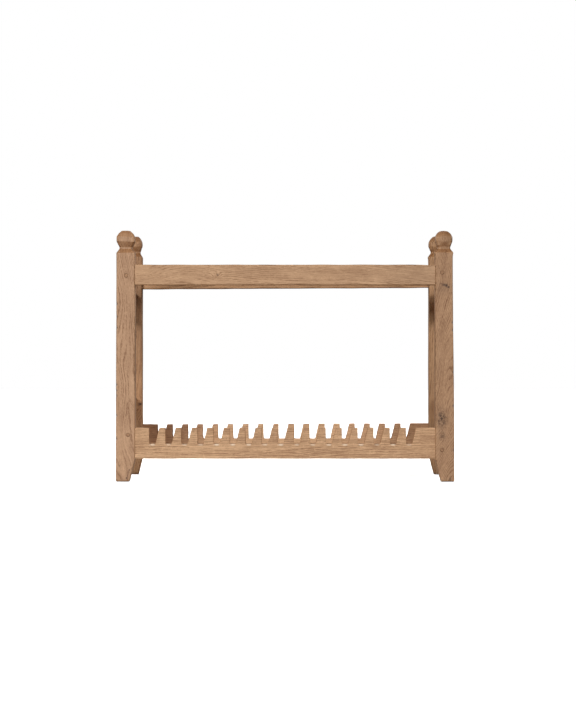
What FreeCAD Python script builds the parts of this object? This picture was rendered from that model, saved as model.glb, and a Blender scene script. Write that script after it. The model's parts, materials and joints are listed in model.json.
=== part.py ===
# Free-standing oak plate rack: four square posts with carved finials, joined by pegged
# mortise-and-tenon rails.  Plates stand on edge in the slots of the two notched rails.
#
# Millimetres.  +X runs along the rack, +Y from front to back, +Z up.  The origin is on the
# floor, under the middle of the rack.
import FreeCAD, Part
import math
import os

# Overall sizes, over the outer faces of the posts
LENGTH = 528.0
DEPTH = 230.0
HEIGHT = 391.5

# Posts
POST = 30.0
POST_ARRIS = 1.8           # radius along a post's four long corners
FOOT_ROUND = 1.2           # eased edge round the sole of a foot
FOOT_TAPER = 8.6           # taken off each inner face at the sole

# Finial, carved on the four faces of the post head.  Each edge is (depth below the top,
# inset from the post's face), from the shoulder of the post up to the flat crown
FINIAL_EDGES = [
    (34.5, 0.0),           # shoulder, where the carving starts
    (28.4, 4.6),           # neck, lower edge
    (26.0, 4.6),           # neck, upper edge
    (17.4, 0.3),           # upright band, lower edge
    (9.6, 0.3),            # upright band, upper edge
    (4.2, 3.3),            # break of the sloping shoulder
    (0.8, 7.2),            # eased edge of the crown
    (0.0, 8.4),            # crown
]
FINIAL_ARRIS = 3.0         # corner radius on the finial

# Rails, front and back
FLOOR_GAP = 35.5           # from the floor to the underside of the notched rails
NOTCHED_HEIGHT = 48.5
TOP_RAIL_HEIGHT = 32.0
TOP_RAIL_DROP = 53.2       # from the top of a finial down to the top rail's upper edge
RAIL_THICKNESS = 18.0
RAIL_RECESS = 2.0          # any rail's face, set back from the post's outer face
RAIL_ARRIS = 1.5           # radius along the long corners of a plain rail
UNDER_CHAMFER = 2.0        # planed corner under the front notched rail
CHAMFER_FADED = 0.2        # what is left of it where it fades out
CHAMFER_STOP = 4.0         # where it stops short of the left shoulder
CHAMFER_RUNOUT = 4.5       # length over which it fades out

# Side rails
SIDE_THICKNESS = 16.0
SIDE_HEIGHT = 40.0
LOWER_SIDE_GAP = 3.0       # above the upper edge of the notched rails
UPPER_SIDE_GAP = 9.0       # below the underside of the top rails

# Plate slots
SLOT_PITCH = 25.0
SLOT_DEPTH = 25.0
SLOT_FLOOR = 8.9
STEEP_RUN = 0.6            # how far the near-upright wall leans over the slot's depth
SLOPE_RUN = 6.2            # how far the sloping wall leans over the slot's depth
FIRST_SLOT = 22.9          # from the left shoulder to the first slot's floor
LAST_BLOCK = 28.0          # least solid length left at the right shoulder
TOOTH_ROUND = 0.9          # radius of a tooth's upper corners
TOOTH_ARRIS = 0.6          # eased edge round the notched outline

# Joints
TENON_THICKNESS = 10.0
TENON_COVER = 10.0         # post left beyond the tenon's end
TENON_SHOULDER = 5.0       # rail height cut away above and below a tenon
TENON_FIT = 0.1            # gap on each cheek of a tenon
GLUE_SPACE = 1.0           # gap past the end of a tenon
PEG_DIAMETER = 6.0
PEG_FIT = 0.05             # radial gap round a peg
PEG_COVER = 6.0            # post left beyond a peg's end
PEG_PROUD = 0.3            # peg end left standing out of the post
PEG_POINT = 0.8            # chamfer on a peg's driven end
PEG_CROWN = 0.5            # chamfer on a peg's outer end
PEG_EDGE = 2.0             # least tenon left above and below a peg

# Each peg was bored by eye: (share of the tenon's length in from the shoulder, share of the
# room above or below the tenon's middle), by joint
PEG_PLACES = {
    "top_rail_front_left": (0.68, -0.15), "top_rail_front_right": (0.54, 0.58),
    "top_rail_back_left": (0.52, 0.20), "top_rail_back_right": (0.58, -0.15),
    "notched_rail_front_left": (0.54, 0.92), "notched_rail_front_right": (0.52, -0.71),
    "notched_rail_back_left": (0.53, -0.60), "notched_rail_back_right": (0.50, 0.70),
    "side_rail_upper_left_front": (0.50, 0.10), "side_rail_upper_left_back": (0.55, -0.20),
    "side_rail_upper_right_front": (0.54, -0.10), "side_rail_upper_right_back": (0.48, 0.25),
    "side_rail_lower_left_front": (0.56, 0.20), "side_rail_lower_left_back": (0.50, -0.10),
    "side_rail_lower_right_front": (0.47, -0.25), "side_rail_lower_right_back": (0.53, 0.15),
}

# Worked out
HALF_SPAN = LENGTH / 2 - POST              # middle of the rack to a front rail's shoulder
HALF_REACH = DEPTH / 2 - POST              # middle of the rack to a side rail's shoulder
TENON_LENGTH = POST - TENON_COVER
PEG_DEPTH = POST - PEG_COVER
PEG_RADIUS = PEG_DIAMETER / 2
RAIL_OUT = DEPTH / 2 - RAIL_RECESS         # middle of the rack to a front rail's outer face
SIDE_OUT = LENGTH / 2 - RAIL_RECESS        # middle of the rack to a side rail's outer face
NOTCHED_TOP = FLOOR_GAP + NOTCHED_HEIGHT
TOP_RAIL_TOP = HEIGHT - TOP_RAIL_DROP
TOP_RAIL_BOTTOM = TOP_RAIL_TOP - TOP_RAIL_HEIGHT
LOWER_SIDE_BOTTOM = NOTCHED_TOP + LOWER_SIDE_GAP
UPPER_SIDE_BOTTOM = TOP_RAIL_BOTTOM - UPPER_SIDE_GAP - SIDE_HEIGHT
SLOT_COUNT = 1 + math.floor(
    (2 * HALF_SPAN - FIRST_SLOT - SLOT_FLOOR - LAST_BLOCK) / SLOT_PITCH)

X_AXIS = FreeCAD.Vector(1, 0, 0)
Y_AXIS = FreeCAD.Vector(0, 1, 0)
Z_AXIS = FreeCAD.Vector(0, 0, 1)
CENTRE = FreeCAD.Vector(0, 0, 0)
SAME = 1e-6                # lengths closer than this are equal


def box(low, high):
    """The solid box between two corners."""
    size = [b - a for a, b in zip(low, high)]
    return Part.makeBox(*size, FreeCAD.Vector(*low))


def place(shape, right, back):
    """A shape made at the front left, mirrored to the right or to the back."""
    if right:
        shape = shape.mirror(CENTRE, X_AXIS)
    if back:
        shape = shape.mirror(CENTRE, Y_AXIS)
    return shape


# ---- posts -------------------------------------------------------------------------

def post_section(z, outer, inner, radius):
    """The front left post's outline at height z: a square with round corners, its two outer
    faces inset by one amount and its two inner faces by another."""
    x0, y0 = -LENGTH / 2 + outer, -DEPTH / 2 + outer
    x1, y1 = -LENGTH / 2 + POST - inner, -DEPTH / 2 + POST - inner
    corners = [(x0, y0, 180), (x1, y0, 270), (x1, y1, 0), (x0, y1, 90)]
    arcs = []
    for x, y, start in corners:
        centre_x = x + radius if x == x0 else x - radius
        centre_y = y + radius if y == y0 else y - radius
        on_arc = [FreeCAD.Vector(centre_x + radius * math.cos(math.radians(start + turn)),
                                 centre_y + radius * math.sin(math.radians(start + turn)), z)
                  for turn in (0, 45, 90)]
        arcs.append(on_arc)
    edges = []
    for arc, following in zip(arcs, arcs[1:] + arcs[:1]):
        edges.append(Part.Arc(*arc).toShape())
        edges.append(Part.LineSegment(arc[2], following[0]).toShape())
    return Part.Wire(edges)


def blank_post():
    """The front left post before any mortise is cut."""
    levels = [
        (0.0, FOOT_ROUND, FOOT_TAPER + FOOT_ROUND, POST_ARRIS),
        (FOOT_ROUND, 0.0, FOOT_TAPER, POST_ARRIS),
        (FLOOR_GAP - FOOT_ROUND, 0.0, 0.0, POST_ARRIS),
    ]
    for depth, inset in FINIAL_EDGES:
        levels.append((HEIGHT - depth, inset, inset, FINIAL_ARRIS if inset else POST_ARRIS))
    return Part.makeLoft([post_section(*level) for level in levels], True, True)


# ---- tenons, mortises and pegs -------------------------------------------------------

def long_tenon(bottom, height, fit, end):
    """The left tenon of a front rail, or its mortise when fit and end are the gaps."""
    cheek = (RAIL_THICKNESS - TENON_THICKNESS) / 2 - fit
    return box(
        (-HALF_SPAN - TENON_LENGTH - end, -RAIL_OUT + cheek, bottom + TENON_SHOULDER - fit),
        (-HALF_SPAN, -RAIL_OUT + RAIL_THICKNESS - cheek,
         bottom + height - TENON_SHOULDER + fit))


def side_tenon(bottom, fit, end):
    """The front tenon of a left side rail, or its mortise when fit and end are the gaps."""
    cheek = (SIDE_THICKNESS - TENON_THICKNESS) / 2 - fit
    return box(
        (-SIDE_OUT + cheek, -HALF_REACH - TENON_LENGTH - end, bottom + TENON_SHOULDER - fit),
        (-SIDE_OUT + SIDE_THICKNESS - cheek, -HALF_REACH,
         bottom + SIDE_HEIGHT - TENON_SHOULDER + fit))


def peg_spot(name, bottom, height):
    """How far a peg is in from the shoulder, and its height above the floor."""
    along, rise = PEG_PLACES[name]
    room = height / 2 - TENON_SHOULDER - PEG_RADIUS - PEG_EDGE
    return along * TENON_LENGTH, bottom + height / 2 + rise * room


def peg(start, direction):
    """An oak peg from the post's face inwards, with both ends eased."""
    length = PEG_DEPTH + PEG_PROUD
    turned = Part.makePolygon([FreeCAD.Vector(x, 0, z) for x, z in (
        (0, 0), (PEG_RADIUS - PEG_CROWN, 0), (PEG_RADIUS, PEG_CROWN),
        (PEG_RADIUS, length - PEG_POINT), (PEG_RADIUS - PEG_POINT, length),
        (0, length), (0, 0))])
    solid = Part.Face(turned).revolve(CENTRE, Z_AXIS, 360)
    solid.Placement = FreeCAD.Placement(start - direction * PEG_PROUD,
                                        FreeCAD.Rotation(Z_AXIS, direction))
    return solid


def peg_hole(start, direction):
    """The blind hole that a peg is driven into, bored a little deeper than the peg."""
    return Part.makeCylinder(PEG_RADIUS + PEG_FIT, PEG_DEPTH + GLUE_SPACE + PEG_PROUD,
                             start - direction * PEG_PROUD, direction)


def joints():
    """Every pegged joint: (peg's name, joint's rail, post's name, hole, peg)."""
    found = []
    fronts = (("top_rail", TOP_RAIL_BOTTOM, TOP_RAIL_HEIGHT),
              ("notched_rail", FLOOR_GAP, NOTCHED_HEIGHT))
    sides = (("side_rail_upper", UPPER_SIDE_BOTTOM), ("side_rail_lower", LOWER_SIDE_BOTTOM))
    for right in (False, True):
        for back in (False, True):
            side, face = "right" if right else "left", "back" if back else "front"
            post = f"post_{face}_{side}"
            for rail, bottom, height in fronts:
                inward, z = peg_spot(f"{rail}_{face}_{side}", bottom, height)
                start = FreeCAD.Vector(-HALF_SPAN - inward, -DEPTH / 2, z)
                made = [place(make(start, Y_AXIS), right, back) for make in (peg_hole, peg)]
                found.append((f"peg_{rail}_{face}_{side}", f"{rail}_{face}", post, *made))
            for rail, bottom in sides:
                inward, z = peg_spot(f"{rail}_{side}_{face}", bottom, SIDE_HEIGHT)
                start = FreeCAD.Vector(-LENGTH / 2, -HALF_REACH - inward, z)
                made = [place(make(start, X_AXIS), right, back) for make in (peg_hole, peg)]
                found.append((f"peg_{rail}_{side}_{face}", f"{rail}_{side}", post, *made))
    return found


# ---- rails ---------------------------------------------------------------------------

def eased(solid, axis, radius):
    """A bar with the corners that run along one axis rounded."""
    edges = [e for e in solid.Edges
             if abs(abs(e.tangentAt(e.FirstParameter).dot(axis)) - 1) < SAME]
    return solid.makeFillet(radius, edges)


def top_rail():
    """The front top rail, with a tenon at each end."""
    bar = box((-HALF_SPAN, -RAIL_OUT, TOP_RAIL_BOTTOM),
              (HALF_SPAN, -RAIL_OUT + RAIL_THICKNESS, TOP_RAIL_TOP))
    tenon = long_tenon(TOP_RAIL_BOTTOM, TOP_RAIL_HEIGHT, 0, 0)
    return eased(bar, X_AXIS, RAIL_ARRIS).fuse([tenon, place(tenon, True, False)])


def side_rail(bottom):
    """A left side rail, with a tenon at each end."""
    bar = box((-SIDE_OUT, -HALF_REACH, bottom),
              (-SIDE_OUT + SIDE_THICKNESS, HALF_REACH, bottom + SIDE_HEIGHT))
    tenon = side_tenon(bottom, 0, 0)
    return eased(bar, Y_AXIS, RAIL_ARRIS).fuse([tenon, place(tenon, False, True)])


def notched_outline():
    """The notched rail's front outline, as points with the radius of each corner."""
    points = [(-HALF_SPAN, FLOOR_GAP, 0), (-HALF_SPAN, NOTCHED_TOP, 0)]
    floor = NOTCHED_TOP - SLOT_DEPTH
    for number in range(SLOT_COUNT):
        x = -HALF_SPAN + FIRST_SLOT + number * SLOT_PITCH
        points += [(x - STEEP_RUN, NOTCHED_TOP, TOOTH_ROUND), (x, floor, 0),
                   (x + SLOT_FLOOR, floor, 0),
                   (x + SLOT_FLOOR + SLOPE_RUN, NOTCHED_TOP, TOOTH_ROUND)]
    return points + [(HALF_SPAN, NOTCHED_TOP, 0), (HALF_SPAN, FLOOR_GAP, 0)]


def outline_wire(points, y):
    """A closed wire through (x, z, corner radius) points at one depth."""
    ends, arcs = [], {}
    for i, (x, z, radius) in enumerate(points):
        corner = FreeCAD.Vector(x, y, z)
        if not radius:
            ends.append((corner, corner))
            continue
        before, after = points[i - 1], points[(i + 1) % len(points)]
        towards = [(FreeCAD.Vector(p[0], y, p[1]) - corner).normalize() for p in (before, after)]
        half_angle = towards[0].getAngle(towards[1]) / 2
        back_off = radius / math.tan(half_angle)
        middle = (towards[0] + towards[1]).normalize()
        centre = corner + middle * (radius / math.sin(half_angle))
        start, end = corner + towards[0] * back_off, corner + towards[1] * back_off
        ends.append((start, end))
        arcs[i] = Part.Arc(start, centre - middle * radius, end).toShape()
    edges = []
    for i, (start, end) in enumerate(ends):
        if i in arcs:
            edges.append(arcs[i])
        edges.append(Part.LineSegment(end, ends[(i + 1) % len(ends)][0]).toShape())
    return Part.Wire(edges)


def plain_notched_rail():
    """A front notched rail with eased edges, before its tenons and its planed corner."""
    bar = Part.Face(outline_wire(notched_outline(), -RAIL_OUT)).extrude(Y_AXIS * RAIL_THICKNESS)

    def on_a_face(edge):
        low, high = edge.BoundBox.YMin, edge.BoundBox.YMax
        at_shoulder = all(abs(abs(v.X) - HALF_SPAN) < SAME for v in edge.Vertexes)
        return high - low < SAME and not (at_shoulder and edge.BoundBox.XLength < SAME)

    return bar.makeFillet(TOOTH_ARRIS, [e for e in bar.Edges if on_a_face(e)])


def with_tenons(bar):
    """A notched rail with its two tenons."""
    tenon = long_tenon(FLOOR_GAP, NOTCHED_HEIGHT, 0, 0)
    return bar.fuse([tenon, place(tenon, True, False)])


def planing_cut():
    """What a plane takes off the front rail's lower front corner: it runs out at the right
    shoulder, and fades away short of the left one."""
    def triangle(x, leg):
        low, out = FLOOR_GAP, -RAIL_OUT
        corner = [(x, out - leg, low - leg), (x, out + leg, low - leg), (x, out - leg, low + leg)]
        return Part.makePolygon([FreeCAD.Vector(*p) for p in corner + corner[:1]])

    start = -HALF_SPAN + CHAMFER_STOP
    fade = Part.makeLoft([triangle(start, CHAMFER_FADED),
                          triangle(start + CHAMFER_RUNOUT, UNDER_CHAMFER)], True, True)
    run = Part.makeLoft([triangle(start + CHAMFER_RUNOUT, UNDER_CHAMFER),
                         triangle(HALF_SPAN, UNDER_CHAMFER)], True, True)
    return fade.fuse(run)


# ---- assembly ------------------------------------------------------------------------

def make_rails():
    """Every rail before its peg holes are bored, by name."""
    top, notched = top_rail(), with_tenons(plain_notched_rail())
    rails = {
        "top_rail_front": top,
        "top_rail_back": place(top, False, True),
        "notched_rail_front": notched.cut(planing_cut()),
        "notched_rail_back": place(notched, False, True),
    }
    for level, bottom in (("upper", UPPER_SIDE_BOTTOM), ("lower", LOWER_SIDE_BOTTOM)):
        rail = side_rail(bottom)
        rails[f"side_rail_{level}_left"] = rail
        rails[f"side_rail_{level}_right"] = place(rail, True, False)
    return rails


def make_posts():
    """The four posts with their mortises, before their peg holes are bored, by name."""
    post = blank_post().cut([
        long_tenon(TOP_RAIL_BOTTOM, TOP_RAIL_HEIGHT, TENON_FIT, GLUE_SPACE),
        long_tenon(FLOOR_GAP, NOTCHED_HEIGHT, TENON_FIT, GLUE_SPACE),
        side_tenon(UPPER_SIDE_BOTTOM, TENON_FIT, GLUE_SPACE),
        side_tenon(LOWER_SIDE_BOTTOM, TENON_FIT, GLUE_SPACE)])
    return {f"post_{'back' if back else 'front'}_{'right' if right else 'left'}":
            place(post, right, back) for right in (False, True) for back in (False, True)}


def make_parts():
    """Every piece of the rack, by name."""
    rails, posts, pegs = make_rails(), make_posts(), {}
    for name, rail, post, hole, solid in joints():
        rails[rail] = rails[rail].cut(hole)
        posts[post] = posts[post].cut(hole)
        pegs[name] = solid
    return {**posts, **rails, **pegs}


def main():
    os.makedirs("parts", exist_ok=True)
    for name, shape in make_parts().items():
        solid = shape.Solids[0] if len(shape.Solids) == 1 else shape
        print(f"{name}: {len(shape.Solids)} solid, valid {solid.isValid()}, "
              f"{solid.Volume / 1000:.2f} cm3")
        solid.exportStep(f"parts/{name}.step")


main()
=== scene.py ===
"""A free-standing oak plate rack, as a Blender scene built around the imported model.

Every piece is the CAD node's own shape, cut finer, worn and made slightly uneven as hand work
is, then given oak whose rings run round that piece's own pith.  The front is -Y.  Blender works
in metres; wood, wear and unevenness are given in millimetres.
"""
import json
import math
import random

import bmesh
import bpy
import numpy as np
from mathutils import Euler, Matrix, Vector


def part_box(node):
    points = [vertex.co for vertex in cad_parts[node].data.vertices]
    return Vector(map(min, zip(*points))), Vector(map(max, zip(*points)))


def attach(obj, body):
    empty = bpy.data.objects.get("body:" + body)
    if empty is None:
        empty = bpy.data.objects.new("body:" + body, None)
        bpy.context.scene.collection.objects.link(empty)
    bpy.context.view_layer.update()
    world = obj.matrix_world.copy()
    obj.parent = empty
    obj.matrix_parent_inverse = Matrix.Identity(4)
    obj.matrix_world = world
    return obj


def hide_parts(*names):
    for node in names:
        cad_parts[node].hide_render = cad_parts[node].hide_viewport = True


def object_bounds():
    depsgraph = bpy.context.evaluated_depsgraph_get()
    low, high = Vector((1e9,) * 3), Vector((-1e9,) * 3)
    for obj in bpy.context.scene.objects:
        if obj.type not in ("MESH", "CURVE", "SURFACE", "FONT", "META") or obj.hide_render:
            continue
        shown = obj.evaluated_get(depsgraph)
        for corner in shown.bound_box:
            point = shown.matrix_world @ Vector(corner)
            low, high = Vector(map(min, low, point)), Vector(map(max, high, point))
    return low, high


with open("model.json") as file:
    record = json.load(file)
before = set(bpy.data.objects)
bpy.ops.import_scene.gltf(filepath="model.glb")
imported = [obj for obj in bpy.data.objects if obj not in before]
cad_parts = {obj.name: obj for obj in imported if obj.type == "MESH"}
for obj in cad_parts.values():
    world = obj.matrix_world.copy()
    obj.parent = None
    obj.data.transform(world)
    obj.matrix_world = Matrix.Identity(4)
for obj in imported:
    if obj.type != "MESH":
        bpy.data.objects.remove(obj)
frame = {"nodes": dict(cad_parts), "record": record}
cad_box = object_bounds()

MM = 0.001
X, Y, Z = 0, 1, 2


# ---- what the frame says ---------------------------------------------------------------

NODES = sorted(frame["nodes"])


def box_mm(node):
    """A node's lowest and highest corners, in millimetres."""
    low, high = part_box(node)
    return np.array(low) / MM, np.array(high) / MM


POST_LOW, POST_HIGH = box_mm("post_front_left")
HEIGHT = POST_HIGH[Z]
END = -POST_LOW[X]                # the posts' outer faces
FRONT = -POST_LOW[Y]              # the front posts' front faces
SHOULDER = -POST_HIGH[X]          # the posts' inner faces, where the rails' shoulders stop
CENTRE = (END + SHOULDER) / 2     # from the rack's middle to a post's, along its length
CENTRE_DEPTH = FRONT - (END - SHOULDER) / 2      # and through its depth
RAIL_FACE = FRONT - 2             # the faces of the front and back rails
PEG_PROUD = max(box_mm(node)[1][Y] for node in NODES if node.startswith("peg_top")) - FRONT
SLOTS = [opening["box_m"] for opening in frame["record"]["physics"]["openings"]
         if opening["name"].startswith("plate_slot")]


def left_or_right(node):
    return -1 if node.endswith("left") else 1


def front_or_back(node):
    return -1 if "front" in node else 1


# ---- camera, lights and floor ----------------------------------------------------------

LENS = 122.6                      # mm, on a 36 mm sensor
CAMERA_BACK = 3.76                # from the front faces of the posts
CAMERA_RIGHT = 0.0296
CAMERA_HEIGHT = 0.2192
CAMERA_YAW = math.radians(0.380)  # turned to the left
CAMERA_DIP = math.radians(0.320)  # looking slightly down


def make_camera():
    data = bpy.data.cameras.new("camera")
    data.lens = LENS
    data.clip_end = 50
    camera = bpy.data.objects.new("camera", data)
    camera.location = (CAMERA_RIGHT, -FRONT * MM - CAMERA_BACK, CAMERA_HEIGHT)
    camera.rotation_euler = Euler((math.pi / 2 - CAMERA_DIP, 0, CAMERA_YAW))
    bpy.context.scene.collection.objects.link(camera)
    bpy.context.scene.camera = camera


def add_light(name, kind, energy):
    data = bpy.data.lights.new(name, kind)
    data.energy = energy
    light = bpy.data.objects.new(name, data)
    bpy.context.scene.collection.objects.link(light)
    return light


def area_light(name, size, power):
    light = add_light(name, "AREA", power)
    light.data.shape = "RECTANGLE"
    light.data.size, light.data.size_y = size
    return light


def softbox(name, azimuth, elevation, distance, size, power):
    """An area light that faces the middle of the rack.  Azimuth 0 is straight in front and
    positive to the right."""
    light = area_light(name, size, power)
    turn, rise = math.radians(azimuth), math.radians(elevation)
    out = Vector((math.sin(turn) * math.cos(rise), -math.cos(turn) * math.cos(rise),
                  math.sin(rise)))
    light.location = Vector((0, 0, HEIGHT / 2 * MM)) + out * distance
    light.rotation_euler = (-out).to_track_quat("-Z", "Y").to_euler()


def make_floor():
    """A pale floor with a soft light of its own."""
    bpy.ops.mesh.primitive_circle_add(vertices=96, radius=7, fill_type="NGON")
    floor = bpy.context.object
    floor.name = "floor"
    floor.visible_diffuse = False
    floor.visible_glossy = False
    paint = bpy.data.materials.new("floor")
    paint.use_nodes = True
    shader = paint.node_tree.nodes["Principled BSDF"]
    shader.inputs["Base Color"].default_value = (0.86, 0.86, 0.86, 1)
    shader.inputs["Roughness"].default_value = 0.9
    shader.inputs["Specular IOR Level"].default_value = 0.1
    floor.data.materials.append(paint)

    light = add_light("floor light", "SUN", 4.1)
    light.data.angle = math.radians(130)
    light.location = (0, 0, 3)
    only_floor = bpy.data.collections.new("only the floor")
    only_floor.objects.link(floor)
    light.light_linking.receiver_collection = only_floor
    return floor


def make_surround():
    """A white backdrop that only the camera sees."""
    bpy.ops.mesh.primitive_uv_sphere_add(segments=48, ring_count=24, radius=8)
    surround = bpy.context.object
    surround.name = "surround"
    for kind in ("diffuse", "glossy", "transmission", "volume_scatter", "shadow"):
        setattr(surround, f"visible_{kind}", False)
    glow = bpy.data.materials.new("surround")
    glow.use_nodes = True
    tree = glow.node_tree
    tree.nodes.clear()
    light = tree.nodes.new("ShaderNodeEmission")
    light.inputs["Strength"].default_value = 1.0
    out = tree.nodes.new("ShaderNodeOutputMaterial")
    tree.links.new(light.outputs[0], out.inputs["Surface"])
    surround.data.materials.append(glow)
    return surround


def make_studio():
    scene = bpy.context.scene
    scene.view_settings.view_transform = "Standard"
    world = bpy.data.worlds.new("studio")
    world.use_nodes = True
    background = world.node_tree.nodes["Background"]
    background.inputs["Color"].default_value = (1, 0.80, 0.62, 1)
    background.inputs["Strength"].default_value = 0.01
    scene.world = world
    floor = make_floor()
    surround = make_surround()
    softbox("left softbox", -24, 15.5, 3.0, (1.0, 0.4), 45)
    softbox("right softbox", 20, 10, 3.0, (0.8, 0.45), 28.5)
    softbox("back left softbox", -125, 20, 3.0, (1.2, 0.8), 34)
    softbox("back right softbox", 125, 20, 3.0, (1.2, 0.8), 34)
    softbox("high back softbox", 180, 58, 2.8, (1.2, 1.2), 24)
    softbox("top softbox", 0, 72, 2.4, (1.2, 1.2), 8)
    bounce = area_light("floor bounce", (1.4, 1.0), 1.1)
    bounce.location = (0, 0, 0.002)
    bounce.rotation_euler = (math.pi, 0, 0)
    bounce.visible_camera = False


# ---- meshes ----------------------------------------------------------------------------

SAME = 0.5e-6                     # metres: points this near are one point
FLAT = math.radians(0.5)          # faces that meet at less than this are one face
CREASE = math.radians(24)         # edges sharper than this are not smoothed over
DENT_RADIUS, DENT_DEPTH = 1.7, 0.9
STEP = 4.0                        # mm between the cuts that let a mesh be uneven
FINE_STEP = 1.6                   # the same in the carving


def cuts(low, high, step=STEP):
    """Evenly spaced places strictly between low and high."""
    count = max(1, round((high - low) / step))
    return [low + (high - low) * number / count for number in range(1, count)]


def copied_mesh(node):
    """The CAD node's shape without the triangles across its flat faces."""
    mesh = bmesh.new()
    mesh.from_mesh(frame["nodes"][node].data)
    bmesh.ops.remove_doubles(mesh, verts=mesh.verts, dist=SAME)
    bmesh.ops.dissolve_limit(mesh, angle_limit=FLAT, use_dissolve_boundaries=False,
                             verts=mesh.verts, edges=mesh.edges)
    return mesh


def cut_finer(mesh, planes):
    """Cuts a bmesh along (axis, place) planes."""
    for axis, place in planes:
        point = Vector((0, 0, 0))
        point[axis] = place * MM
        normal = Vector((axis == X, axis == Y, axis == Z))
        geometry = mesh.verts[:] + mesh.edges[:] + mesh.faces[:]
        bmesh.ops.bisect_plane(mesh, geom=geometry, dist=SAME, plane_co=point, plane_no=normal)


class Shape:
    """A node's mesh as arrays in millimetres, for bending it and then making it an object."""

    def __init__(self, node, planes):
        self.node = node
        mesh = copied_mesh(node)
        cut_finer(mesh, planes)
        self.data = bpy.data.meshes.new(node)
        mesh.to_mesh(self.data)
        mesh.free()
        self.count = len(self.data.vertices)
        flat = np.empty(self.count * 3)
        self.data.vertices.foreach_get("co", flat)
        self.start = flat.reshape(-1, 3) / MM    # where the points are in the CAD model
        self.points = self.start.copy()          # where they are moved to
        flat = np.empty(self.count * 3)
        self.data.vertex_normals.foreach_get("vector", flat)
        self.normals = flat.reshape(-1, 3)
        tilt = 1 - np.abs(self.normals).max(axis=1)
        self.arris = np.clip(tilt / 0.2, 0, 1)   # 1 where the surface turns from face to face
        self.stain = np.zeros(self.count)        # 1 in a dent
        self.bare = np.zeros(self.count)         # 1 where rubbing has laid the wood open

    def soften(self, near, turns):
        """Rounds the shape by averaging each point with its neighbours, where near is 1."""
        pairs = np.empty(len(self.data.edges) * 2, dtype=np.int32)
        self.data.edges.foreach_get("vertices", pairs)
        a, b = pairs.reshape(-1, 2).T
        number = np.bincount(np.concatenate((a, b)), minlength=self.count)[:, None]
        for _ in range(turns):
            total = np.zeros_like(self.points)
            np.add.at(total, a, self.points[b])
            np.add.at(total, b, self.points[a])
            self.points += 0.5 * near[:, None] * (total / number - self.points)

    def finish(self, seed, waviness, wear):
        """Planes the faces unevenly and rubs the arrises, always inwards."""
        wave = 0.5 + 0.5 * waves(self.start, seed, (60, 60, 60))
        rub = np.clip(waves(self.start, seed + 1, (14, 14, 14)), 0, 1) ** 1.5
        depth = waviness * wave + wear * rub * self.arris
        self.points -= self.normals * depth[:, None]

    def dent(self, place):
        """Presses in and darkens the surface round a place."""
        away = np.linalg.norm(self.start - np.array(place), axis=1) / DENT_RADIUS
        press = np.exp(-away ** 2)
        self.points -= self.normals * (DENT_DEPTH * press)[:, None]
        self.stain = np.maximum(self.stain, press)

    def make(self):
        """Makes the piece, no bigger than the CAD model, in the place of its node."""
        room_low, room_high = np.array(cad_box[0]) / MM, np.array(cad_box[1]) / MM
        self.points = np.clip(self.points, room_low, room_high)
        self.data.vertices.foreach_set("co", (self.points * MM).ravel())
        for name, values in (("stain", self.stain), ("bare", self.bare)):
            attribute = self.data.attributes.new(name, "FLOAT", "POINT")
            attribute.data.foreach_set("value", values)
        self.data.update()
        self.data.shade_smooth()
        self.data.set_sharp_from_angle(angle=CREASE)
        piece = bpy.data.objects.new("oak_" + self.node, self.data)
        bpy.context.scene.collection.objects.link(piece)
        self.data.materials.append(oak_material(self.node))
        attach(piece, "root")
        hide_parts(self.node)


def waves(points, seed, lengths, number=9):
    """Smooth seeded unevenness, from about -1 to 1, with the given wavelengths."""
    rng = np.random.default_rng(seed)
    total = np.zeros(len(points))
    for _ in range(number):
        direction = rng.normal(size=3)
        direction /= np.linalg.norm(direction)
        pitch = 2 * math.pi / np.array(lengths) * rng.uniform(0.6, 1.5)
        total += np.sin(points @ (direction * pitch) + rng.uniform(0, 2 * math.pi))
    return total / math.sqrt(number) * 1.1


def ramp(value, start, stop):
    """0 before start and 1 after stop, with a smooth rise between."""
    part = np.clip((value - start) / (stop - start), 0, 1)
    return part * part * (3 - 2 * part)


# ---- posts -----------------------------------------------------------------------------

FINIAL = 38.0                     # the carved top of a post, and a little below it
BALL = 14.6                       # radius of the ball that a finial wears towards
ARRIS_FROM = 11.0                 # from a post's middle out to where its arrises are rubbed


class Post:
    """What hand work and wear have done to one post."""

    def __init__(self, taper, worn, ball, swell, dents):
        self.outer, self.inner = taper     # how far those two faces stand back higher up
        self.worn = worn                   # rounds of softening on the finial
        self.ball = ball                   # how near the finial is to a ball, from 0 to 1
        self.swell = swell                 # how much wider the finial was left
        self.dents = dents                 # heights of the dents along the outer arris


POSTS = {
    "post_front_left": Post((1.0, 0.0), 0, 0.06, 0.0, (277, 257, 240, 151, 142, 134, 103, 67)),
    "post_front_right": Post((2.6, 0.0), 4, 0.55, 0.07, (248, 236, 171, 118, 49)),
    "post_back_left": Post((0.8, 2.3), 3, 0.35, 0.02, (301, 160, 88)),
    "post_back_right": Post((1.2, 0.4), 3, 0.4, 0.05, (221, 97)),
}


def outer_shift(node, heights):
    """How far a post's outer face stands back from its CAD place, at each height."""
    return POSTS[node].outer * ramp(heights, 40, 330)


def inner_shift(node, heights):
    """How far a post's inner face stands back from its CAD place, at each height."""
    return POSTS[node].inner * ramp(heights, 0, 110)


def wear_finial(shape, post, middle, top, carved):
    """Rounds and widens a finial, where carved is 1."""
    z = shape.start[:, Z]
    shape.soften(carved, post.worn)
    shape.soften(ramp(z, top - 5, top - 2), 2)
    out = shape.points - np.array((*middle, top - BALL))
    far = np.linalg.norm(out, axis=1)[:, None]
    ball = post.ball * ramp(z, top - 24, top - 18)[:, None]
    shape.points += out * ball * (BALL / np.maximum(far, 5) - 1)
    swell = 1 + post.swell * carved
    shape.points[:, X] = middle[X] + (shape.points[:, X] - middle[X]) * swell


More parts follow.
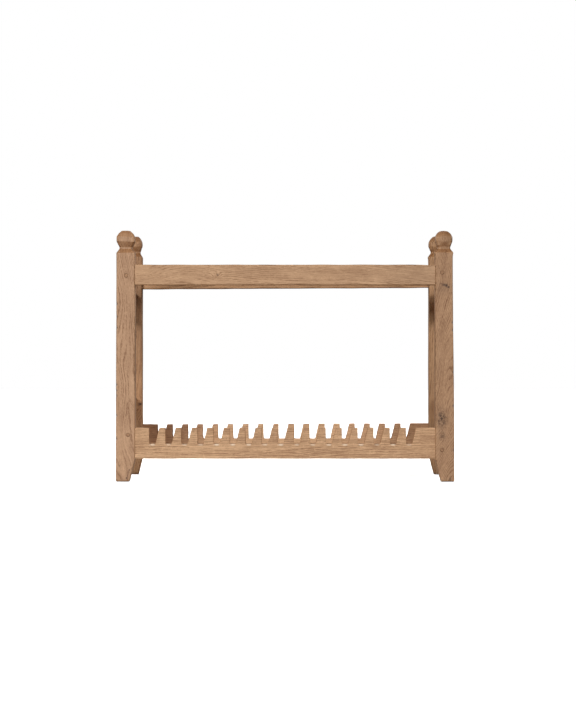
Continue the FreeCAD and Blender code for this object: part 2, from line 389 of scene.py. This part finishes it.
def make_post(node, seed):
    post = POSTS[node]
    side, face = left_or_right(node), front_or_back(node)
    middle = side * CENTRE, face * CENTRE_DEPTH
    low, high = box_mm(node)
    top = high[Z]
    planes = [(axis, place) for axis in (X, Y) for place in cuts(low[axis], high[axis])]
    planes += [(Z, place) for place in cuts(low[Z], top - FINIAL)]
    planes += [(Z, place) for place in cuts(top - FINIAL, top, FINE_STEP)]
    for height in post.dents:
        planes += [(Z, height + away) for away in (-1.8, -1.0, -0.4, 0.4, 1.0, 1.8)]
    shape = Shape(node, planes)
    x, y, z = shape.start.T

    carved = ramp(z, top - FINIAL, top - FINIAL + 4)
    wear_finial(shape, post, middle, top, carved)
    outwards = (x * side - SHOULDER) / (END - SHOULDER)
    outer = ramp(outwards, 0.62, 1.0) * (1 - carved) + ramp(outwards, 0.0, 1.0) * carved
    inner = ramp(outwards, 0.38, 0.0)
    shape.points[:, X] -= side * outer_shift(node, z) * outer
    shape.points[:, X] += side * inner_shift(node, z) * inner
    shape.points += 0.22 * carved[:, None] * np.stack(
        [waves(shape.start, seed + 10 + axis, (26, 26, 26)) for axis in range(3)], axis=1)
    shape.arris *= (np.abs(x - middle[X]) > ARRIS_FROM) & (np.abs(y - middle[Y]) > ARRIS_FROM)
    shape.finish(seed, waviness=0.18, wear=0.35)
    for height in post.dents:
        shape.dent((side * (END - 0.5), face * (FRONT - 0.5), height))
    shape.make()


# ---- rails -----------------------------------------------------------------------------

def rail_shape(node, more_planes=()):
    low, high = box_mm(node)
    planes = [(axis, place) for axis in (X, Y, Z) for place in cuts(low[axis], high[axis])]
    return Shape(node, planes + list(more_planes))


def meet_posts(shape):
    """Moves a long rail's shoulders to the posts' real inner faces."""
    end = "front" if front_or_back(shape.node) < 0 else "back"
    for side, name in ((-1, "left"), (1, "right")):
        away = np.abs(shape.start[:, X] - side * SHOULDER)
        shift = inner_shift(f"post_{end}_{name}", shape.start[:, Z])
        shape.points[:, X] += side * np.where(away < 0.3, shift, 0)


def make_top_rail(node, seed):
    low, high = box_mm(node)
    shape = rail_shape(node)
    x, z = shape.start[:, X], shape.start[:, Z]
    lower = ramp(z, high[Z], low[Z])
    if front_or_back(node) > 0:   # its lower edge was planed to a slope
        between = np.abs(x) < SHOULDER + 0.3
        shape.points[:, Z] += between * lower * (1.2 * x / SHOULDER - 0.9)
    else:                         # its upper edge dips at the right-hand end
        shape.points[:, Z] -= (1 - lower) * 0.7 * ramp(x, SHOULDER - 26, SHOULDER - 4)
    shape.finish(seed, waviness=0.25, wear=0.35)
    meet_posts(shape)
    shape.make()


def make_notched_rail(node, seed):
    face = front_or_back(node)
    shift_of = random.Random(seed)
    slots = [((box[0][0] + box[1][0]) / 2 / MM, box[0][2] / MM) for box in SLOTS]
    planes = [(X, middle + away) for middle, _ in slots
              for away in (-3.4, -2.3, -1.1, 0, 1.1, 2.3, 3.4)]
    planes += [(Y, face * (RAIL_FACE - depth)) for depth in (0.9, 1.6, 2.6)]
    shape = rail_shape(node, planes)
    x, y, z = shape.start.T
    floor = slots[0][1] - 0.2     # an opening starts that far above its slot's floor
    tall = ramp(z, floor, floor + 8)
    pitch = slots[1][0] - slots[0][0]
    depth = ramp(face * y, RAIL_FACE - 3.0, RAIL_FACE)
    on_floor = np.abs(z - floor) < 1.2
    for middle, _ in slots:
        near = np.abs(x - middle) < pitch / 2
        left_wall = near & (x < middle)
        right_wall = near & (x >= middle)
        shape.points[:, X] += left_wall * tall * shift_of.uniform(-0.5, 0.5)
        shape.points[:, X] += right_wall * tall * shift_of.uniform(-0.8, 0.6)
        cleaned = on_floor * np.exp(-((x - middle) / 3.4) ** 4) * depth
        shape.points[:, Z] -= cleaned * shift_of.uniform(0.8, 1.3)
        shape.bare = np.maximum(shape.bare, cleaned * shift_of.uniform(0.3, 0.8))
        shape.points[:, Z] -= near * tall * shift_of.uniform(0, 0.5)
    if face > 0:                  # its upper edge was planed to a slope
        shape.points[:, Z] -= tall * 0.9 * (1 - x / SHOULDER)
    shape.finish(seed, waviness=0.15, wear=0.35)
    meet_posts(shape)
    shape.make()


def make_side_rail(node, seed):
    shape = rail_shape(node)
    shape.finish(seed, waviness=0.2, wear=0.6)
    shape.make()


# ---- pegs ------------------------------------------------------------------------------

HEAD_SWELL = 0.03                 # how much wider the driven end was crushed
HEAD_PROUD = 0.12                 # how far it stands out of the post


def make_peg(node, seed):
    low, high = box_mm(node)
    along = int(np.argmax(high - low))
    middle = (low + high) / 2
    planes = [(axis, place) for axis in (X, Y, Z) if axis != along
              for place in cuts(low[axis], high[axis], 1.0)]
    side = 1 if middle[along] > 0 else -1
    outer = high[along] if side > 0 else low[along]
    planes += [(along, outer - side * depth) for depth in (0.5, 0.9, 1.5, 3.0, 5.0)]
    shape = Shape(node, planes)
    radial = shape.start - middle
    radial[:, along] = 0
    head = ramp(side * (shape.start[:, along] - outer), -4.6, -0.6)
    shape.points += radial * HEAD_SWELL * head[:, None]
    sunk = PEG_PROUD - HEAD_PROUD
    if along == X:
        post = f"post_{'front' if middle[Y] < 0 else 'back'}_{'left' if side < 0 else 'right'}"
        sunk += outer_shift(post, middle[Z])
    shape.points[:, along] -= side * sunk * head
    shape.finish(seed, waviness=0.08, wear=0.12)
    shape.make()


# ---- oak -------------------------------------------------------------------------------

class Nodes:
    """Short ways to add shader nodes."""

    def __init__(self, tree):
        self.tree = tree

    def add(self, kind, **settings):
        node = self.tree.nodes.new(kind)
        for name, value in settings.items():
            setattr(node, name, value)
        return node

    def feed(self, socket, value):
        """Links a socket to another node's output, or sets its value."""
        if isinstance(value, bpy.types.NodeSocket):
            self.tree.links.new(value, socket)
        else:
            socket.default_value = value

    def math(self, operation, *values, clamp=False):
        node = self.add("ShaderNodeMath", operation=operation, use_clamp=clamp)
        for socket, value in zip(node.inputs, values):
            self.feed(socket, value)
        return node.outputs[0]

    def vector(self, operation, *values):
        node = self.add("ShaderNodeVectorMath", operation=operation)
        for socket, value in zip(node.inputs, values):
            self.feed(socket, value)
        return node.outputs["Value" if operation in ("LENGTH", "DOT_PRODUCT") else "Vector"]

    def split(self, vector):
        node = self.add("ShaderNodeSeparateXYZ")
        self.feed(node.inputs[0], vector)
        return node.outputs[:]

    def join(self, x, y, z):
        node = self.add("ShaderNodeCombineXYZ")
        for socket, value in zip(node.inputs, (x, y, z)):
            self.feed(socket, value)
        return node.outputs[0]

    def step(self, value, start, stop, low=0.0, high=1.0):
        """From low to high as the value goes smoothly from start to stop."""
        node = self.add("ShaderNodeMapRange", interpolation_type="SMOOTHSTEP")
        for socket, given in zip(node.inputs, (value, start, stop, low, high)):
            self.feed(socket, given)
        return node.outputs[0]

    def noise(self, vector, scales, detail=2.0, roughness=0.5):
        """Noise from 0 to 1, with so many waves to the millimetre along each axis."""
        place = self.vector("MULTIPLY", vector, scales)
        node = self.add("ShaderNodeTexNoise", noise_dimensions="3D")
        self.feed(node.inputs["Vector"], place)
        node.inputs["Scale"].default_value = 1.0
        node.inputs["Detail"].default_value = detail
        node.inputs["Roughness"].default_value = roughness
        return node.outputs["Fac"]

    def colour(self, blend, factor, first, second):
        node = self.add("ShaderNodeMix", data_type="RGBA", blend_type=blend)
        factor_in, first_in, second_in = [socket for socket in node.inputs if socket.enabled]
        self.feed(factor_in, factor)
        self.feed(first_in, first)
        self.feed(second_in, second)
        return next(socket for socket in node.outputs if socket.enabled)


def group(name, inputs, outputs):
    """A new node group with (kind, name) sockets; gives its Nodes, inputs and output node."""
    tree = bpy.data.node_groups.new(name, "ShaderNodeTree")
    for kind, label in inputs:
        tree.interface.new_socket(label, in_out="INPUT", socket_type="NodeSocket" + kind)
    for kind, label in outputs:
        tree.interface.new_socket(label, in_out="OUTPUT", socket_type="NodeSocket" + kind)
    nodes = Nodes(tree)
    given = nodes.add("NodeGroupInput").outputs
    result = nodes.add("NodeGroupOutput").inputs
    return nodes, given, result


def make_swell_group():
    """A soft ellipsoidal spot: Height at its centre, falling away like a bell."""
    nodes, given, result = group(
        "swell",
        [("Vector", "Place"), ("Vector", "Centre"), ("Vector", "Size"), ("Float", "Height")],
        [("Float", "Height")])
    away = nodes.vector("DIVIDE", nodes.vector("SUBTRACT", given["Place"], given["Centre"]),
                        given["Size"])
    square = nodes.vector("DOT_PRODUCT", away, away)
    bell = nodes.math("EXPONENT", nodes.math("MULTIPLY", square, -1.0))
    nodes.feed(result["Height"], nodes.math("MULTIPLY", bell, given["Height"]))
    return nodes.tree


def make_oak_group():
    """Oak in a piece's own coordinates, in mm with z along the grain.

    Rings run round the pith line, Ring apart.  Wander makes them uneven and Swirl pushes them
    aside.  Dark is for knots, stains and painted shade, End for how far the surface cuts across
    the grain, Edge for arrises and carving, and Bare for wood that rubbing has laid open.  The
    mask for what faces down paints shade on it, and the mask for the ends paints shade in the
    corners at a board's ends.
    """
    nodes, given, result = group(
        "oak",
        [("Vector", "Place"), ("Float", "Seed"), ("Vector", "Pith"), ("Vector", "Lean"),
         ("Float", "Ring"), ("Float", "Wander"), ("Float", "Swirl"), ("Float", "Dark"),
         ("Float", "End"), ("Float", "Edge"), ("Float", "ShadeBelow"), ("Float", "Bare"),
         ("Float", "EndShade"), ("Float", "Contrast"), ("Color", "Tint")],
        [("Color", "Color"), ("Float", "Roughness"), ("Float", "Height")])
    along = nodes.split(given["Place"])[2]
    lean = nodes.vector("MULTIPLY", given["Lean"], nodes.join(along, along, 0.0))
    leant = nodes.vector("SUBTRACT", given["Place"], lean)
    place = nodes.vector("ADD", leant, nodes.join(0.0, 0.0, given["Seed"]))

    def sown(x, y, z):
        """The place moved by any amount, so that a noise differs from its neighbours."""
        return nodes.vector("ADD", place, (x, y, z))

    broad = nodes.noise(place, (0.020, 0.020, 0.0055), 1.0)
    broad_2 = nodes.noise(sown(31, 47, 113), (0.022, 0.022, 0.007), 1.0)
    close = nodes.noise(place, (0.09, 0.09, 0.022), 2.0, 0.55)
    close_2 = nodes.noise(sown(-57, 21, 71), (0.10, 0.10, 0.025), 2.0, 0.55)

    def wander(far, near):
        far = nodes.math("MULTIPLY", nodes.math("SUBTRACT", far, 0.5), 22.0)
        near = nodes.math("MULTIPLY", nodes.math("SUBTRACT", near, 0.5), 3.0)
        return nodes.math("MULTIPLY", nodes.math("ADD", far, near), given["Wander"])

    out = nodes.vector("SUBTRACT", leant, given["Pith"])
    out = nodes.vector("ADD", out, nodes.join(wander(broad, close), wander(broad_2, close_2), 0.0))
    across, deep, _ = nodes.split(out)
    radius = nodes.vector("LENGTH", nodes.join(across, deep, 0.0))
    angle = nodes.math("ARCTAN2", deep, across)
    ring = nodes.math("DIVIDE", radius, given["Ring"])
    year = nodes.noise(nodes.join(ring, 0.0, 0.0), (0.31, 1.0, 1.0), 2.0)
    ring = nodes.math("ADD", ring, nodes.math("MULTIPLY", year, 2.4))
    ring = nodes.math("ADD", ring, given["Swirl"])
    phase = nodes.math("FRACT", ring)

    strength = nodes.noise(sown(90, 15, 40), (0.11, 0.11, 0.012), 2.0)
    strength = nodes.step(strength, 0.32, 0.68, 0.10, 1.0)
    early = nodes.math("MULTIPLY", nodes.step(phase, 0.0, 0.12),
                       nodes.step(phase, 0.16, 0.55, 1.0, 0.0))
    early = nodes.math("MULTIPLY", early, strength)
    late = nodes.step(phase, 0.45, 0.98)
    vessel = nodes.noise(place, (1.5, 1.5, 0.13), 2.0, 0.6)
    pores = nodes.math("MULTIPLY", early, nodes.step(vessel, 0.45, 0.57))
    small = nodes.noise(place, (2.6, 2.6, 0.22), 1.0, 0.5)
    small_pores = nodes.step(small, 0.58, 0.70)
    fibre = nodes.noise(place, (2.4, 2.4, 0.06), 3.0, 0.6)
    band_place = nodes.join(nodes.math("MULTIPLY", ring, 1.3), 0.0,
                            nodes.math("MULTIPLY", along, 0.014))
    band = nodes.noise(band_place, (1.0, 1.0, 1.0), 3.0, 0.6)
    ray_place = nodes.join(nodes.math("MULTIPLY", angle, 26.0),
                           nodes.math("MULTIPLY", radius, 0.14),
                           nodes.math("MULTIPLY", along, 0.30))
    rays = nodes.step(nodes.noise(ray_place, (1.0, 1.0, 1.0), 1.0), 0.62, 0.72)
    cloud = nodes.noise(place, (0.05, 0.05, 0.014), 3.0, 0.6)
    dirt_and_shade = nodes.noise(sown(7, 3, 1), (0.17, 0.17, 0.10), 3.0, 0.65)

    def added(total, value, share):
        return nodes.math("ADD", total, nodes.math("MULTIPLY", value, share))

    light, dark = (0.70, 0.440, 0.250, 1), (0.33, 0.175, 0.090, 1)
    tone = added(0.0, nodes.math("SUBTRACT", cloud, 0.5), 0.8)
    tone = added(tone, nodes.math("SUBTRACT", fibre, 0.5), 1.1)
    tone = added(tone, nodes.math("SUBTRACT", band, 0.5), 0.8)
    tone = added(tone, late, 0.06)
    tone = added(tone, early, 0.22)
    tone = added(tone, pores, 1.1)
    tone = added(tone, small_pores, 0.26)
    tone = added(tone, rays, -0.12)
    tone = nodes.math("ADD", nodes.math("MULTIPLY", tone, given["Contrast"]), 0.30, clamp=True)
    colour = nodes.colour("MIX", tone, light, dark)
    # random patches of real dirt
    grime_and_shade = nodes.math("MULTIPLY", nodes.step(dirt_and_shade, 0.52, 0.78), 0.5)
    colour = nodes.colour("MULTIPLY", grime_and_shade, colour, (0.80, 0.74, 0.70, 1))
    colour = nodes.colour("MULTIPLY", given["Edge"], colour, (1.0, 0.95, 0.86, 1))
    colour = nodes.colour("MULTIPLY", given["End"], colour, (0.75, 0.63, 0.49, 1))
    # painted shade: what faces down is darkened as if it were in shade
    colour = nodes.colour("MULTIPLY", given["ShadeBelow"], colour, (0.62, 0.52, 0.42, 1))
    # painted shade in the corners at a board's ends, where posts and side rails would shade it
    colour = nodes.colour("MULTIPLY", given["EndShade"], colour, (0.58, 0.47, 0.42, 1))
    colour = nodes.colour("MIX", given["Bare"], colour, (0.98, 0.86, 0.68, 1))
    colour = nodes.colour("MIX", given["Dark"], colour, (0.055, 0.030, 0.022, 1))
    nodes.feed(result["Color"], nodes.colour("MULTIPLY", 1.0, colour, given["Tint"]))

    rough = added(0.50, fibre, 0.16)
    rough = added(rough, pores, 0.16)
    nodes.feed(result["Roughness"], added(rough, dirt_and_shade, 0.08))

    height = added(0.0, pores, -0.16)
    height = added(height, small_pores, -0.05)
    height = added(height, fibre, 0.07)
    height = added(height, late, 0.03)
    nodes.feed(result["Height"], added(height, given["Dark"], -0.15))
    return nodes.tree


SWELL = make_swell_group()
OAK = make_oak_group()

# Wood coordinates are (across, through, along), taken from these axes by the grain's direction.
GRAIN_ORDER = {Z: (X, Y, Z), X: (Z, Y, X), Y: (Z, X, Y)}


class Board:
    """How a piece was sawn from the log: in its wood coordinates, from its middle, in mm."""

    def __init__(self, pith, lean=(0, 0), ring=2.6, wander=1.0, contrast=1.0, tint=(1, 1, 1),
                 swirls=(), knots=(), marks_and_shadows=(), burrs=(), grime_and_shade=(0, 0), shaded_edges=0.0):
        self.pith = pith          # where the log's middle is
        self.lean = lean          # how much the pith moves for each mm along the board
        self.ring = ring          # width of a year's ring
        self.wander = wander      # how uneven its rings are
        self.contrast = contrast  # how strongly its grain shows
        self.tint = tint
        self.swirls = swirls      # (centre, size, height in rings)
        self.knots = knots        # (centre, radius, length, darkness)
        self.marks_and_shadows = marks_and_shadows        # (centre, size, darkness) of marks, and of painted shadows on the back posts
        self.burrs = burrs        # (centre, size, darkness)
        self.grime_and_shade = grime_and_shade        # how much painted shade darkens the two ends
        self.shaded_edges = shaded_edges      # how much painted shade darkens its arrises


BOARDS = {
    "post_front_left": Board(
        (-44, 40), (-0.19, -0.10), 2.3, 0.8, 1.1, (0.90, 0.873, 0.905),
        swirls=[((2, -15, -98), (9, 20, 52), 3.0), ((-6, -15, 82), (12, 20, 40), -1.5)],
        marks_and_shadows=[((6.5, -15, -177.5), (1.0, 3, 1.3), 0.85), ((2.0, -15, -190), (1.2, 3, 1.3), 0.95),
               ((5.2, -15, -181), (0.6, 3, 3.0), 0.6), ((3.2, -15, -186.5), (0.6, 3, 3.0), 0.6),
               ((-9.5, -15, -171), (0.9, 3, 1.6), 0.5)]),
    "post_front_right": Board(
        (58, 40), (0.19, 0.08), 2.1, 0.5, 1.25, (0.765, 0.715, 0.695),
        swirls=[((0, -15, 110), (9, 12, 12), 1.5), ((2, -15, -20), (7, 20, 60), -2.5),
                ((10, -15, -205), (80, 40, 70), -10.0)],
        knots=[((-8, -15, -90), 2.8, 2.0, 0.6), ((-3.5, -15, -97), 2.2, 3.0, 0.6),
               ((-9, -15, -102), 2.0, 2.0, 0.6), ((-1, -15, -105), 2.6, 1.5, 0.55)],
        marks_and_shadows=[((8.0, -15, -191.5), (1.0, 4, 3.2), 0.85),
               ((-1.2, -15, 110.8), (3.4, 3, 2.2), 0.85),
               ((2.2, -15, 110.0), (2.6, 3, 2.6), 0.97), ((5.4, -15, 107.4), (2.0, 3, 1.8), 0.95),
               ((-5.5, -15, 112.6), (2.2, 3, 1.0), 0.6), ((0, -15, 109), (8, 3, 5), 0.2),
               ((-2, -15, 104), (11, 3, 8), 0.17),
               ((-5, -15, -99), (8, 3, 12), 0.12), ((-4, -15, -124), (6, 3, 8), 0.08)],
        burrs=[((-5, -15, -98), (8, 6, 13), 0.95), ((-4, -15, -124), (5, 6, 7), 0.6)]),
    "post_back_left": Board(
        (36, 24), (0.02, 0.05), 2.3, 0.8, 1.2, (0.85, 0.755, 0.675),
        # painted shade, darkest high on the post where the rails shade its front face
        marks_and_shadows=[((0, 0, 90), (60, 60, 110), 0.36)],
        swirls=[((9, -15, -88), (7, 12, 14), 2.0)],
        knots=[((10, -15, -80), 2.6, 1.8, 1.0)]),
    "post_back_right": Board(
        (-40, 30), (0.03, -0.04), 2.3, 0.8, 1.1, (0.75, 0.695, 0.63),
        # painted shade low on the post, where the lower side rail shades it
        marks_and_shadows=[((0, 0, -75), (60, 60, 45), 0.22)]),
    "top_rail_front": Board(
        (-58, 44), (-0.045, 0.02), 2.5, 0.9, 1.1, (0.98, 0.965, 0.965),
        swirls=[((2, -9, -222), (18, 20, 34), 5.0), ((-2, -9, -105), (6, 12, 10), 1.2),
                ((14, -9, 190), (14, 20, 60), 2.5)],
        knots=[((0, -9, -105), 1.7, 1.6, 0.65)],
        marks_and_shadows=[((0, -9, 215), (30, 20, 70), 0.16)]),
    # painted shade darkens this rail's arrises
    "top_rail_back": Board(
        (20, 44), (0.01, 0.03), 2.5, 0.8, 1.0, (0.95, 0.87, 0.79), shaded_edges=0.30),
    "notched_rail_front": Board(
        (-120, 60), (0.01, 0.0), 2.2, 0.6, 1.75, (1.08, 1.065, 1.05)),
    # painted shade darkens this rail towards its ends and along its arrises
    "notched_rail_back": Board(
        (-90, -60), (0.01, 0.01), 2.0, 0.5, 1.2, (1.19, 1.18, 1.17), grime_and_shade=(1.05, 0.6),
        shaded_edges=0.40),
    "side_rail": Board((30, 50), (0.03, 0.02), 2.4, 0.9, 1.0, (0.90, 0.86, 0.83)),
    "peg_top_rail_front_right": Board((9, 6), (0, 0), 1.6, 0.3, 0.8, (0.72, 0.67, 0.67)),
    "peg_notched_rail_front_right": Board((8, 6), (0, 0), 1.6, 0.3, 0.8, (0.70, 0.65, 0.64)),
    "peg": Board((9, 6), (0, 0), 1.6, 0.3, 0.8, (0.83, 0.785, 0.80)),
}


def board_of(node):
    if node in BOARDS:
        return BOARDS[node]
    return BOARDS["side_rail" if node.startswith("side_rail") else "peg"]


def peg_rings(nodes, node, where, middle):
    """Dark rings painted in a post, or round a peg's own head, as the shade in the gap between peg
    and hole.
    """
    pegs = []
    if node.startswith("peg"):
        pegs = [node]
    if node.startswith("post"):
        low, high = box_mm(node)
        pegs = [name for name in NODES if name.startswith("peg")
                and np.all(sum(box_mm(name)) / 2 > low) and np.all(sum(box_mm(name)) / 2 < high)]
    for peg in pegs:
        peg_low, peg_high = box_mm(peg)
        size = peg_high - peg_low
        along = int(np.argmax(size))
        radius = float(size[(along + 1) % 3] / 2)
        centre = (peg_low + peg_high) / 2 - middle
        flat = [1.0, 1.0, 1.0]
        flat[along] = 0.0
        out = nodes.vector("MULTIPLY", nodes.vector("SUBTRACT", where, tuple(centre)), tuple(flat))
        away = nodes.math("SUBTRACT", nodes.vector("LENGTH", out), radius)
        ring = nodes.step(nodes.math("ABSOLUTE", away), 0.1, 0.7, 0.24, 0.0)
        off = nodes.math("SUBTRACT", nodes.split(where)[along], float(centre[along]))
        reach = float(size[along]) / 2
        near = nodes.step(nodes.math("ABSOLUTE", off), reach + 1, reach + 2, 1.0, 0.0)
        yield nodes.math("MULTIPLY", ring, near)


def blemishes_and_shadows(nodes, board, place):
    """How dark a board's knots, marks, dents and painted shadows are, and how far its rings are
    pushed aside.
    """

    def swell(centre, size, height):
        bell = nodes.add("ShaderNodeGroup", node_tree=SWELL)
        nodes.feed(bell.inputs["Place"], place)
        bell.inputs["Centre"].default_value = centre
        bell.inputs["Size"].default_value = size
        bell.inputs["Height"].default_value = height
        return bell.outputs[0]

    swirl = 0.0
    for centre, size, height in board.swirls:
        swirl = nodes.math("ADD", swirl, swell(centre, size, height))
    dark = nodes.add("ShaderNodeAttribute", attribute_name="stain").outputs["Fac"]
    # marks, and the painted shadows that some boards are given
    for centre, size, darkness in board.marks_and_shadows:
        dark = nodes.math("MAXIMUM", dark, swell(centre, size, darkness))
    if board.burrs:
        scribble = nodes.noise(place, (0.42, 0.10, 0.34), 3.0, 0.6)
        scribble = nodes.step(scribble, 0.42, 0.60, 1.0, 0.15)
    for centre, size, darkness in board.burrs:
        burr = nodes.math("MULTIPLY", swell(centre, size, darkness), scribble)
        dark = nodes.math("MAXIMUM", dark, burr)
        swirl = nodes.math("ADD", swirl, nodes.math("MULTIPLY", burr, 2.0))
    for centre, radius, length, darkness in board.knots:
        dark = nodes.math("MAXIMUM", dark, swell(centre, (radius, 14, length), darkness))
        swirl = nodes.math("ADD", swirl, swell(centre, (radius * 2.4, 18, length * 3), 1.5))
    return dark, swirl


def oak_material(node):
    """The node's board, laid along its longest side, as a material."""
    low, high = box_mm(node)
    middle = (low + high) / 2
    grain = int(np.argmax(high - low))
    board = board_of(node)
    rng = random.Random(node)
    slide = 0 if node in BOARDS else rng.uniform(-9, 9)

    material = bpy.data.materials.new("oak_" + node)
    material.use_nodes = True
    nodes = Nodes(material.node_tree)
    where = nodes.add("ShaderNodeTexCoord").outputs["Object"]
    where = nodes.vector("SUBTRACT", nodes.vector("MULTIPLY", where, (1 / MM,) * 3), tuple(middle))
    axes = nodes.split(where)
    place = nodes.join(*(axes[axis] for axis in GRAIN_ORDER[grain]))

    normal = nodes.add("ShaderNodeNewGeometry").outputs["True Normal"]
    # painted shade on surfaces that face down
    shade_below = nodes.step(nodes.split(normal)[2], -0.70, -0.15, 1.0, 0.0)
    facing = nodes.split(nodes.vector("ABSOLUTE", normal))
    largest = nodes.math("MAXIMUM", nodes.math("MAXIMUM", facing[0], facing[1]), facing[2])
    edge = nodes.step(largest, 0.80, 0.97, 1.0, 0.0)
    end = nodes.step(facing[grain], 0.25, 0.80, 0.0, 0.35 if node.startswith("peg") else 1.0)
    bare = nodes.add("ShaderNodeAttribute", attribute_name="bare").outputs["Fac"]

    dark, swirl = blemishes_and_shadows(nodes, board, place)
    # painted shade round the pegs
    for ring in peg_rings(nodes, node, where, middle):
        dark = nodes.math("MAXIMUM", dark, ring)
    # painted shade along the arrises
    if board.shaded_edges:
        dark = nodes.math("MAXIMUM", dark, nodes.math("MULTIPLY", edge, board.shaded_edges))
    # painted shade that darkens the board towards its ends, where the posts and side rails would
    # shade it
    grime_and_shade = 0.0
    if any(board.grime_and_shade):
        reach = (high - low)[grain] / 2
        along = nodes.split(place)[2]
        grime_and_shade = nodes.math("ADD", *(
            nodes.step(along, side * 0.2 * reach, side * 0.9 * reach, 0.0, dirt_and_shade)
            for side, dirt_and_shade in zip((-1, 1), board.grime_and_shade)))

    oak = nodes.add("ShaderNodeGroup", node_tree=OAK)
    given = {
        "Place": place, "Seed": rng.uniform(-4000, 4000),
        "Pith": (board.pith[0] + slide, board.pith[1], 0), "Lean": (*board.lean, 0),
        "Ring": board.ring, "Wander": board.wander, "Swirl": swirl, "Dark": dark, "End": end,
        "Edge": edge, "ShadeBelow": shade_below, "Bare": bare, "EndShade": grime_and_shade,
        "Contrast": board.contrast, "Tint": (*board.tint, 1)}
    for name, value in given.items():
        nodes.feed(oak.inputs[name], value)

    shader = material.node_tree.nodes["Principled BSDF"]
    shader.inputs["Specular IOR Level"].default_value = 0.32
    nodes.feed(shader.inputs["Base Color"], oak.outputs["Color"])
    nodes.feed(shader.inputs["Roughness"], oak.outputs["Roughness"])
    bump = nodes.add("ShaderNodeBump")
    bump.inputs["Strength"].default_value = 0.7
    bump.inputs["Distance"].default_value = MM
    nodes.feed(bump.inputs["Height"], oak.outputs["Height"])
    nodes.feed(shader.inputs["Normal"], bump.outputs[0])
    return material


# ---- the rack --------------------------------------------------------------------------

make_camera()
make_studio()
MAKERS = (("post", make_post), ("top_rail", make_top_rail), ("notched_rail", make_notched_rail),
          ("side_rail", make_side_rail), ("peg", make_peg))
for number, node in enumerate(NODES):
    make = next(maker for start, maker in MAKERS if node.startswith(start))
    make(node, 100 * number)
